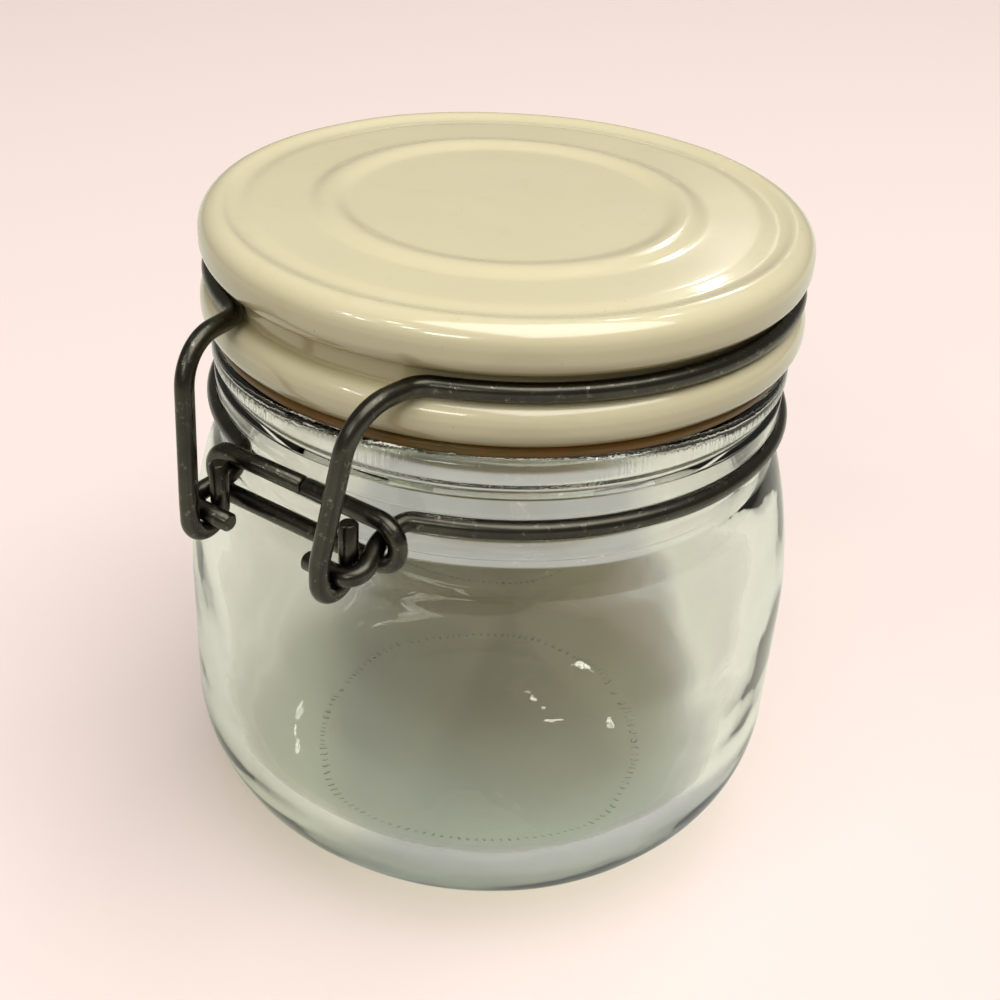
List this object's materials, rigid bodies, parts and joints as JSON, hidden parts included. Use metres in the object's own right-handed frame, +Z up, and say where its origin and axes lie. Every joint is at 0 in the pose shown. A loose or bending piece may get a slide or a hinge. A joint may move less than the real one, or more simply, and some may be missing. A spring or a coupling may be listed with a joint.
{
  "type": "clip-top jar",
  "caption": "Round clear glass storage jar with a cream glazed lid, an amber rubber ring and a dark wire squeeze clip; the lid hinges back on its wire.",
  "frame": {"origin": "on the table under the middle of the jar, on the jar's axis", "axes": "+Z up along the jar's axis, -Y out through the clip, +Y out through the hinge, +X to the right seen from the clip"},
  "size_m": [0.1088, 0.1258, 0.1162],
  "materials": {
    "clear_glass": "clear moulded glass, faintly green-grey, gloss",
    "glazed_lid": "cream glaze, gloss",
    "rubber_ring": "amber rubber, satin",
    "dark_wire": "dark grey drawn steel wire, satin"
  },
  "bodies": {
    "jar": {"jar_glass": "clear_glass", "neck_wire": "dark_wire", "clip_link": "dark_wire"},
    "lid_assembly": {"lid": "glazed_lid", "gasket": "rubber_ring", "lid_wire": "dark_wire"}
  },
  "joints": [
    {"name": "lid_hinge", "type": "hinge", "parent": "jar", "child": "lid_assembly", "pos_m": [0, 0.0582, 0.0862], "axis": [-1, 0, 0], "range_deg": [0, 175], "deforming": ["lid_wire"]}
  ]
}
